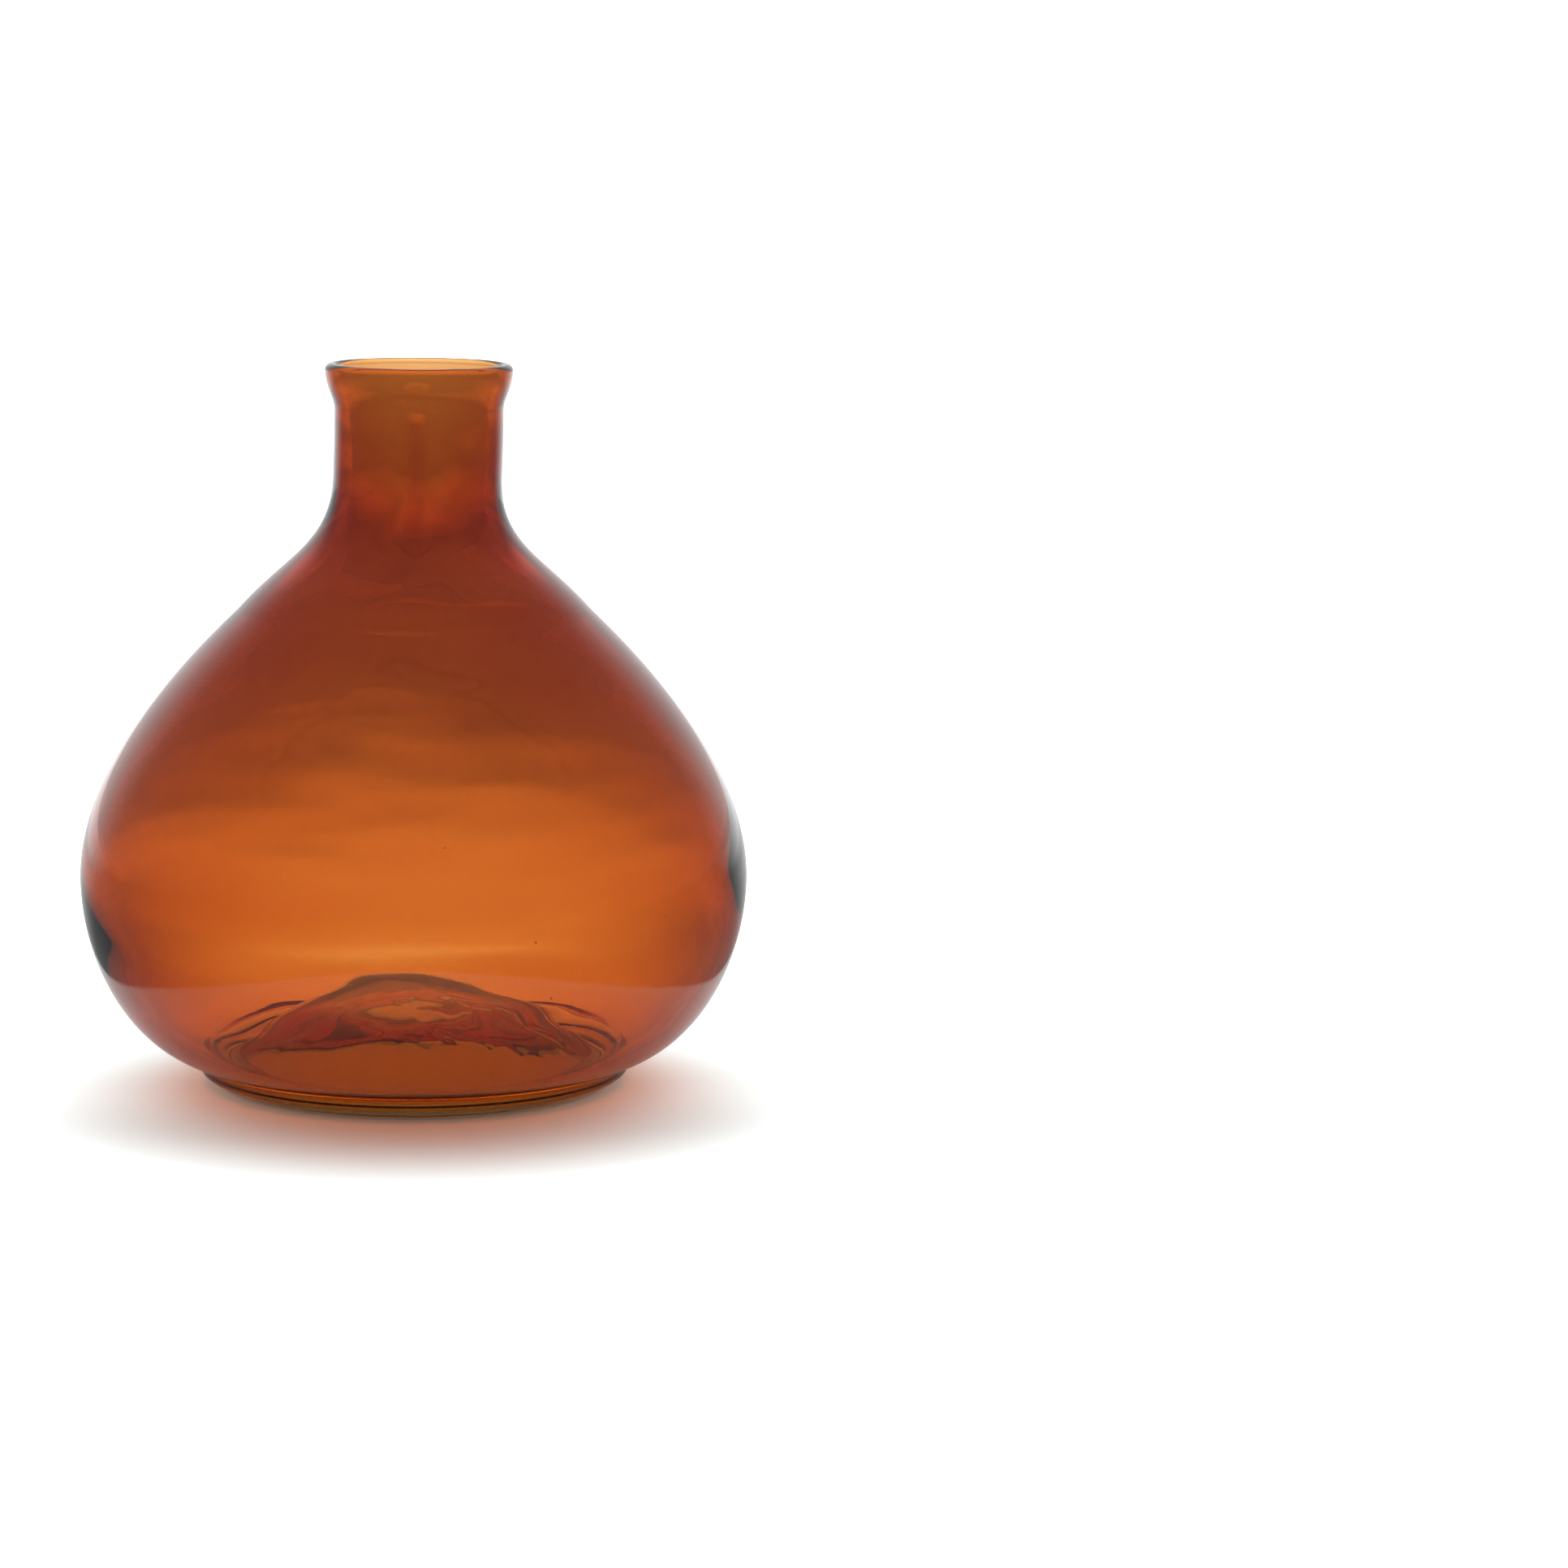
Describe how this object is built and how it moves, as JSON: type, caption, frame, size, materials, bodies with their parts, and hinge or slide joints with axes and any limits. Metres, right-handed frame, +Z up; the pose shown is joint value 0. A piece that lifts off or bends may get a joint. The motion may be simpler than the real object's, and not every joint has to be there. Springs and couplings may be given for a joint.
{
  "type": "glass bud vase",
  "caption": "Squat amber blown-glass bud vase: wide onion belly, short straight neck, flared rounded lip, pushed-up base on a foot ring.",
  "frame": {"origin": "centre of the ring that the vase stands on, on the table", "axes": "+Z up along the vase's axis, out of the mouth; +X and +Y are any two level directions, because the vase is round"},
  "size_m": [0.108, 0.108, 0.1168],
  "materials": {
    "amber_glass": "clear amber blown glass, glossy, with faint streaks and a few seeds"
  },
  "bodies": {
    "root": {"vessel": "amber_glass", "foot_ring": "amber_glass"}
  },
  "joints": []
}
